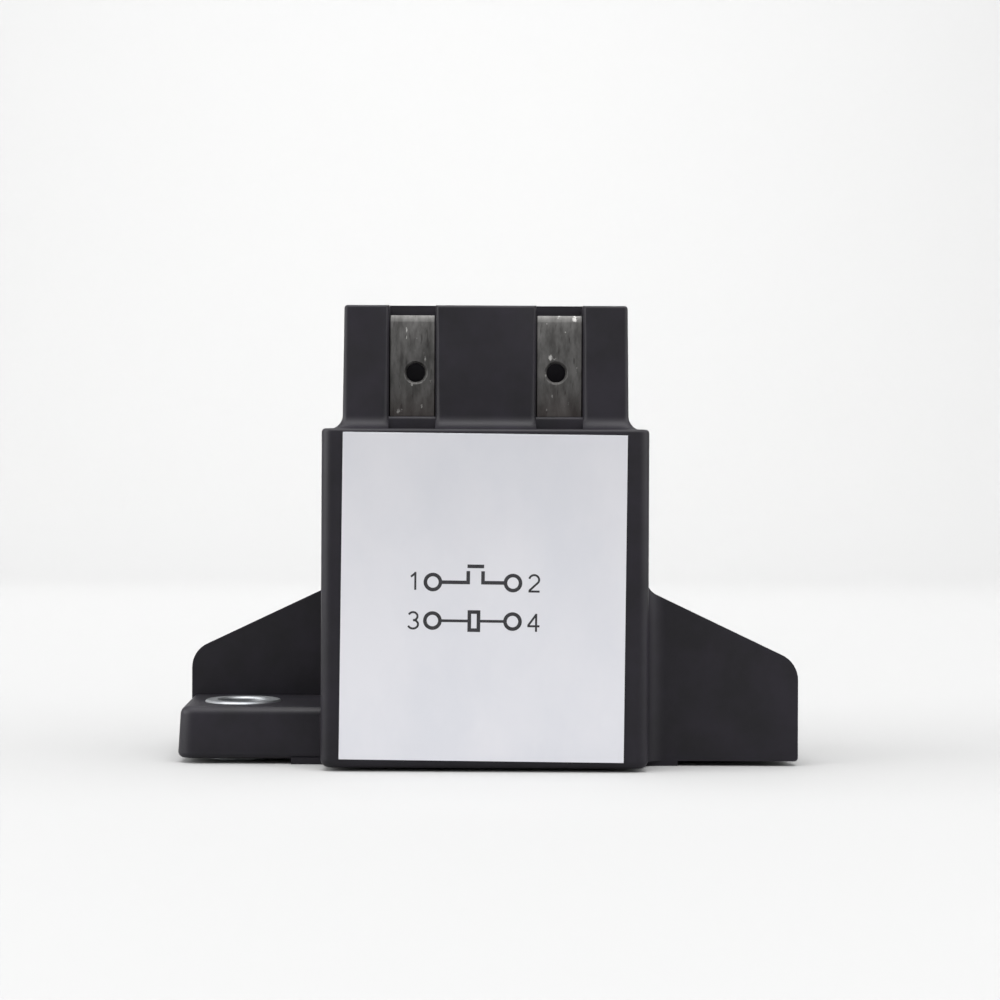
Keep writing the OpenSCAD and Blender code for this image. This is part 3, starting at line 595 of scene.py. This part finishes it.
@dataclass
class LabelPrint:
    """The circuit symbols and terminal numbers printed on the label."""

    symbols: tuple[Symbol, ...] = (CONTACT, COIL)
    left_mm: float = 1.1
    turn_deg: float = 0.5
    lift_mm: float = 0.004
    ink_mm: float = 0.004
    trace_mm: float = 0.0002
    laid: int = 0
    ring_x_mm: float = 4.2
    ring_mm: float = 0.79
    ring_steps: int = 40
    digit_mm: float = 1.72
    digit_stroke_mm: float = 0.22
    arc_steps: int = 20

    def level(self) -> float:
        """Y of the next mark, a trace over the one before, so that no two share a plane."""
        self.laid += 1
        return -self.laid * self.trace_mm

    def bar(self, made: bmesh.types.BMesh, bar: Bar, row_mm: float) -> None:
        """Adds one bar.

        Args:
            made: The print that takes it.
            bar: The bar.
            row_mm: Height of its row.
        """
        x, z, w, h = bar.x_mm, row_mm + bar.z_mm, bar.wide_mm / 2, bar.high_mm / 2
        y = self.level()
        corners = [(x - w, z - h), (x + w, z - h), (x + w, z + h), (x - w, z + h)]
        made.faces.new([made.verts.new((px, y, pz)) for px, pz in corners])

    def ring(self, made: bmesh.types.BMesh, x: float, z: float) -> None:
        """Adds one terminal ring.

        Args:
            made: The print that takes it.
            x: Its middle along X.
            z: Its middle along Z.
        """
        y = self.level()
        angles = [2 * math.pi * i / self.ring_steps for i in range(self.ring_steps)]
        inner, outer = ([made.verts.new((x + r * math.cos(a), y, z + r * math.sin(a)))
                         for a in angles]
                        for r in (self.ring_mm - LINE_MM / 2, self.ring_mm + LINE_MM / 2))
        for i in range(self.ring_steps):
            j = (i + 1) % self.ring_steps
            made.faces.new([inner[i], outer[i], outer[j], inner[j]])

    def arc(self, middle: Point, reach: Point, start_deg: float, end_deg: float) -> list[Point]:
        """Points along a part of an ellipse.

        Args:
            middle: The ellipse's middle.
            reach: Its half width and half height.
            start_deg: Angle of the first point, anticlockwise from the right.
            end_deg: Angle of the last point.

        Returns:
            The points, in order.
        """
        angles = [math.radians(start_deg + (end_deg - start_deg) * i / self.arc_steps)
                  for i in range(self.arc_steps + 1)]
        return [(middle[0] + reach[0] * math.cos(a), middle[1] + reach[1] * math.sin(a))
                for a in angles]

    def stroke(self, made: bmesh.types.BMesh, points: Sequence[Point]) -> None:
        """Adds one pen stroke of a number along a path.

        Args:
            made: The print that takes it.
            points: The path's points.
        """
        path = [Vector(p) for p in points]
        runs = [(b - a).normalized() for a, b in zip(path, path[1:])]
        y = self.level()
        sides = []
        for i, point in enumerate(path):
            along = (runs[max(i - 1, 0)] + runs[min(i, len(runs) - 1)]).normalized()
            across = Vector((-along.y, along.x)) * self.digit_stroke_mm / 2
            sides.append([made.verts.new((p.x, y, p.y))
                          for p in (point - across, point + across)])
        for (low, high), (next_low, next_high) in zip(sides, sides[1:]):
            made.faces.new([low, next_low, next_high, high])

    def numeral(self, value: Numeral) -> list[list[Point]]:
        """The strokes of one numeral, in halves of its height.

        Args:
            value: The numeral.

        Returns:
            A path for each stroke.
        """
        if value is Numeral.ONE:
            return [[(0.12, -1.1), (0.12, 1.1)], [(-0.42, 0.5), (0.12, 0.95)]]
        if value is Numeral.TWO:
            bowl = self.arc((0.0, 0.42), (0.6, 0.58), 168, -32)
            return [bowl + [(-0.6, -0.92)], [(-0.68, -1.0), (0.68, -1.0)]]
        if value is Numeral.THREE:
            return [self.arc((-0.04, 0.5), (0.54, 0.5), 158, -90),
                    self.arc((-0.04, -0.48), (0.62, 0.52), 90, -160)]
        return [[(0.3, 1.0), (-0.68, -0.36)], [(-0.76, -0.42), (0.72, -0.42)],
                [(0.3, -1.1), (0.3, 1.1)]]

    def symbol(self, made: bmesh.types.BMesh, symbol: Symbol) -> None:
        """Adds one row of the diagram: its rings, its bars and its numbers.

        Args:
            made: The print that takes it.
            symbol: The row.
        """
        for x in (-self.ring_x_mm, self.ring_x_mm):
            self.ring(made, x, symbol.row_mm)
        for bar in symbol.bars:
            self.bar(made, bar, symbol.row_mm)
        half = self.digit_mm / 2
        for value, x, z in symbol.numbers:
            for path in self.numeral(value):
                self.stroke(made, [(x + half * px, symbol.row_mm + z + half * pz)
                                   for px, pz in path])

    def build(self) -> None:
        """Builds the print as one piece, as thick as its ink, on the label's face."""
        made = bmesh.new()
        for symbol in self.symbols:
            self.symbol(made, symbol)
        grown = bmesh.ops.extrude_face_region(made, geom=made.faces[:], use_keep_orig=True)
        back = [part for part in grown["geom"] if isinstance(part, bmesh.types.BMVert)]
        bmesh.ops.translate(made, verts=back, vec=(0, self.ink_mm, 0))
        bmesh.ops.recalc_face_normals(made, faces=made.faces)
        mesh = finished_mesh(made, "label_print")
        low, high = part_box("label")
        middle = (low + high) / 2 / MM
        mesh.transform(
            Matrix.Scale(MM, 4)
            @ Matrix.Translation((middle.x, low.y / MM - self.lift_mm, middle.z))
            @ Matrix.Rotation(math.radians(self.turn_deg), 4, "Y")
            @ Matrix.Translation((-self.left_mm, 0, 0)))
        join_body(new_piece("label_print", mesh, INK), Body.HOUSING, Slot.LABEL)


@dataclass
class WireCoil:
    """A wire that runs round an axis, made by Geometry Nodes along a helix."""

    name: str
    finish: Finish
    radius_mm: float
    wire_mm: float
    low_mm: float
    high_mm: float
    turns: float
    closed_mm: float
    sides: int = 10
    steps_per_turn: int = 40

    @property
    def rise_m(self) -> float:
        """Height from the middle of the lowest wire to that of the highest."""
        return (self.high_mm - self.low_mm - self.wire_mm) * MM

    def tree(self) -> Tree:
        """The node tree: a spiral of the given sizes, swept by a round profile.

        Returns:
            A tree with the inputs Radius, Height, Turns, Wire and Finish.
        """
        made = bpy.data.node_groups.new(f"{self.name}_wire", "GeometryNodeTree")
        for label in ("Radius", "Height", "Turns", "Wire"):
            made.interface.new_socket(label, in_out="INPUT", socket_type="NodeSocketFloat")
        made.interface.new_socket("Finish", in_out="INPUT", socket_type="NodeSocketMaterial")
        made.interface.new_socket("Geometry", in_out="OUTPUT", socket_type="NodeSocketGeometry")
        given = add_node(made, "NodeGroupInput").outputs
        path = add_node(made, "GeometryNodeCurveSpiral", {
            "Resolution": self.steps_per_turn, "Rotations": given["Turns"],
            "Start Radius": given["Radius"], "End Radius": given["Radius"],
            "Height": given["Height"]})
        profile = add_node(made, "GeometryNodeCurvePrimitiveCircle", {
            "Resolution": self.sides, "Radius": given["Wire"]})
        tube = add_node(made, "GeometryNodeCurveToMesh", {
            "Curve": path.outputs["Curve"], "Profile Curve": profile.outputs["Curve"],
            "Fill Caps": True})
        smooth = add_node(made, "GeometryNodeSetShadeSmooth", {"Geometry": tube.outputs["Mesh"]})
        real = add_node(made, "GeometryNodeRealizeInstances", {
            "Geometry": smooth.outputs["Geometry"]})
        dressed = add_node(made, "GeometryNodeSetMaterial", {
            "Geometry": real.outputs["Geometry"], "Material": given["Finish"]})
        add_node(made, "NodeGroupOutput", {"Geometry": dressed.outputs["Geometry"]})
        return made

    def close_ends(self, mesh: bpy.types.Mesh) -> None:
        """Draws the first and last turn together, as a spring's closed ends are.

        Args:
            mesh: The even helix, standing on its lowest wire's middle.
        """
        pitch = self.rise_m / self.turns
        closed = self.closed_mm * MM
        live = (self.rise_m - 2 * closed) / (self.turns - 2)
        for vert in mesh.vertices:
            turn = min(max(vert.co.z / pitch, 0.0), self.turns)
            if turn < 1:
                moved = turn * closed
            elif turn > self.turns - 1:
                moved = self.rise_m - (self.turns - turn) * closed
            else:
                moved = closed + (turn - 1) * live
            vert.co.z += moved - turn * pitch

    def build(self) -> Piece:
        """Builds the wire as a plain mesh in its place.

        Returns:
            The piece, at the origin.
        """
        label = f"{self.name}_maker"
        holder = bpy.data.objects.new(label, bpy.data.meshes.new(label))
        bpy.context.scene.collection.objects.link(holder)
        maker = holder.modifiers.new("wire", "NODES")
        maker.node_group = self.tree()
        values = {"Radius": self.radius_mm * MM, "Height": self.rise_m, "Turns": self.turns,
                  "Wire": self.wire_mm / 2 * MM, "Finish": self.finish.material()}
        for item in maker.node_group.interface.items_tree:
            if item.in_out == "INPUT":
                maker[item.identifier] = values[item.name]
        ready = holder.evaluated_get(bpy.context.evaluated_depsgraph_get())
        mesh = bpy.data.meshes.new_from_object(ready)
        holder.modifiers.clear()
        bpy.data.objects.remove(holder)
        self.close_ends(mesh)
        mesh.transform(Matrix.Translation((0, 0, (self.low_mm + self.wire_mm / 2) * MM)))
        return new_piece(self.name, mesh, self.finish)


@dataclass
class Solenoid:
    """The yoke, the bobbin with its winding, the sleeve, the cores and the plunger."""

    edge_mm: float = 0.1
    fixed: Dressing = field(default_factory=lambda: {
        "yoke": (IRON, Slot.IRON), "yoke_plate": (IRON, Slot.IRON),
        "fixed_core": (IRON, Slot.IRON), "bobbin": (FORMER, Slot.BOBBIN),
        "coil_winding": (ENAMEL, Slot.WIRE), "coil_leads": (ENAMEL, Slot.WIRE),
        "guide_sleeve": (DRAWN_BRASS, Slot.SLEEVE), "stop_pad": (NITRILE, Slot.PAD)})
    moving: Dressing = field(default_factory=lambda: {
        "plunger": (IRON, Slot.IRON), "shaft": (TURNED, Slot.SHAFT),
        "spring_seat": (TURNED, Slot.SHAFT), "retaining_clip": (TURNED, Slot.SHAFT)})

    def build(self) -> None:
        """Builds the solenoid's pieces."""
        dress_group(self.fixed, Body.HOUSING, self.edge_mm)
        dress_group(self.moving, Body.ARMATURE, self.edge_mm)


@dataclass
class ContactSet:
    """The contact bridge and tips, the arc chamber and the blowout magnets."""

    edge_mm: float = 0.1
    fixed: Dressing = field(default_factory=lambda: {
        "fixed_contact_tips": (SILVER, Slot.TIPS), "arc_chamber": (THERMOSET, Slot.CHAMBER),
        "chamber_lid": (THERMOSET, Slot.CHAMBER), "blowout_magnet_left": (FERRITE, Slot.MAGNET),
        "blowout_magnet_right": (FERRITE, Slot.MAGNET)})
    moving: Dressing = field(default_factory=lambda: {
        "contact_bridge": (COPPER, Slot.BRIDGE), "moving_contact_tips": (SILVER, Slot.TIPS)})

    def build(self) -> None:
        """Builds the contact set's pieces."""
        dress_group(self.fixed, Body.HOUSING, self.edge_mm)
        dress_group(self.moving, Body.BRIDGE, self.edge_mm)


@dataclass
class Springs:
    """The return spring and the contact spring, built at one length; on the real thing they shorten
    as the plunger rises.

    closed_pitch is the pitch of the closed end turns, in wire thicknesses.
    """

    wire_mm: float = 0.5
    closed_pitch: float = 1.15
    return_turns: float = 6.0
    contact_turns: float = 3.5
    stroke_mm: float = 2.0
    overtravel_mm: float = 0.5

    def make(self, node: str, turns: float, body: Body) -> None:
        """Builds one spring in the space of its CAD node.

        Args:
            node: The CAD node that it stands for.
            turns: Its number of turns.
            body: The body that its fixed end rides on.
        """
        low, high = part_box(node)
        radius = (high.x - low.x) / 2 / MM - self.wire_mm / 2
        wire = WireCoil(f"{node}_wire", SPRING_WIRE, radius, self.wire_mm, low.z / MM,
                        high.z / MM, turns, self.closed_pitch * self.wire_mm)
        piece = join_body(wire.build(), body, Slot.SPRING, node)
        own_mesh(piece)

    def build(self) -> None:
        """Builds both springs."""
        self.make("return_spring", self.return_turns, Body.HOUSING)
        self.make("contact_spring", self.contact_turns, Body.ARMATURE)


@dataclass(frozen=True)
class SoftBox:
    """A soft rectangular light, by its place, target, size, power and the width of its beam."""

    name: str
    place_m: Sizes
    target_m: Sizes
    size_m: Point
    watts: float
    beam_deg: float = 180.0

    def build(self) -> None:
        """Hangs the light and turns it to its target."""
        lamp = bpy.data.lights.new(self.name, "AREA")
        lamp.shape = "RECTANGLE"
        lamp.size, lamp.size_y = self.size_m
        lamp.energy = self.watts
        lamp.spread = math.radians(self.beam_deg)
        holder = bpy.data.objects.new(self.name, lamp)
        holder.location = self.place_m
        sight = Vector(self.target_m) - Vector(self.place_m)
        holder.rotation_euler = sight.to_track_quat("-Z", "Y").to_euler()
        bpy.context.scene.collection.objects.link(holder)


# Middle of the part, which most lights look at
MIDDLE_M = (0.0, 0.0, 0.025)


@dataclass
class Studio:
    """A pale sweep, an even world, soft boxes round the part and over the paper, and the camera."""

    lights: tuple[SoftBox, ...] = (
        SoftBox("left_box", (-1.1, -0.2, 0.48), MIDDLE_M, (1.2, 0.9), 18.0),
        SoftBox("right_box", (1.1, -0.2, 0.48), MIDDLE_M, (1.2, 0.9), 11.0),
        SoftBox("top_box", (0.0, -0.02, 0.42), MIDDLE_M, (0.6, 0.45), 2.6),
        SoftBox("front_box", (0.06, -0.36, 0.42), (0.02, -0.05, 0.02), (0.8, 0.45), 1.25),
        SoftBox("fill_box", (0.35, -0.5, 0.25), MIDDLE_M, (0.4, 0.4), 0.12),
        SoftBox("floor_box", (0.0, -2.2, 1.8), (0.0, -2.2, 0.0), (6.0, 3.6), 90.0, 80.0),
        SoftBox("backdrop_box", (0.0, 0.35, 0.7), (0.0, 1.0, 0.35), (1.2, 0.3), 14.3))
    world: str = "#ffffff"
    world_strength: float = 0.25
    sweep_reach_m: float = 6.0
    bend_start_m: float = 0.6
    bend_m: float = 0.5
    bend_steps: int = 16
    backdrop_m: float = 2.5
    front_y_mm: float = -15.0
    camera_back_mm: float = 200.0
    camera_z_mm: float = 26.5
    roll_deg: float = -0.25
    focal_px: float = 1906.0
    picture_px: float = 1000.0
    centre_px: Point = (485.2, 520.0)
    sensor_mm: float = 36.0
    clip_m: Point = (0.01, 20.0)

    def sweep(self) -> None:
        """A floor that curves up into a backdrop."""
        angles = [math.pi / 2 * i / self.bend_steps for i in range(1, self.bend_steps + 1)]
        profile = [(-self.sweep_reach_m, 0.0), (self.bend_start_m, 0.0)]
        profile += [(self.bend_start_m + self.bend_m * math.sin(a),
                     self.bend_m - self.bend_m * math.cos(a)) for a in angles]
        profile.append((self.bend_start_m + self.bend_m, self.backdrop_m))
        made = bmesh.new()
        left, right = ([made.verts.new((x, y, z)) for y, z in profile]
                       for x in (-self.sweep_reach_m, self.sweep_reach_m))
        for i in range(len(profile) - 1):
            face = made.faces.new([left[i], right[i], right[i + 1], left[i + 1]])
            face.smooth = True
        new_piece("studio_sweep", finished_mesh(made, "studio_sweep"), PAPER)

    def even_light(self) -> None:
        """The world's even light."""
        world = bpy.data.worlds.new("studio")
        world.use_nodes = True
        back = world.node_tree.nodes["Background"]
        back.inputs["Color"].default_value = linear(self.world)
        back.inputs["Strength"].default_value = self.world_strength
        bpy.context.scene.world = world

    def camera(self) -> None:
        """The camera: level, square to the front, shifted as the picture's framing needs."""
        lens = bpy.data.cameras.new("camera")
        lens.sensor_width = self.sensor_mm
        lens.lens = self.focal_px * self.sensor_mm / self.picture_px
        half = self.picture_px / 2
        lens.shift_x = (half - self.centre_px[0]) / self.picture_px
        lens.shift_y = (self.centre_px[1] - half) / self.picture_px
        lens.clip_start, lens.clip_end = self.clip_m
        holder = bpy.data.objects.new("camera", lens)
        back_mm = self.front_y_mm - self.camera_back_mm
        holder.location = Vector((0.0, back_mm, self.camera_z_mm)) * MM
        holder.rotation_euler = (math.pi / 2, math.radians(self.roll_deg), 0.0)
        bpy.context.scene.collection.objects.link(holder)
        bpy.context.scene.camera = holder

    def build(self) -> None:
        """Builds the stage."""
        bpy.context.scene.view_settings.view_transform = "Standard"
        self.sweep()
        self.even_light()
        for light in self.lights:
            light.build()
        self.camera()


def main() -> None:
    """Builds the sub-assemblies in order."""
    logging.basicConfig(level=logging.INFO, format="%(name)s: %(message)s")
    for assembly in (Housing(), LabelPrint(), Solenoid(), ContactSet(), Springs(), Studio()):
        assembly.build()
        LOG.info("%s done", type(assembly).__name__)


if __name__ == "__main__":
    main()
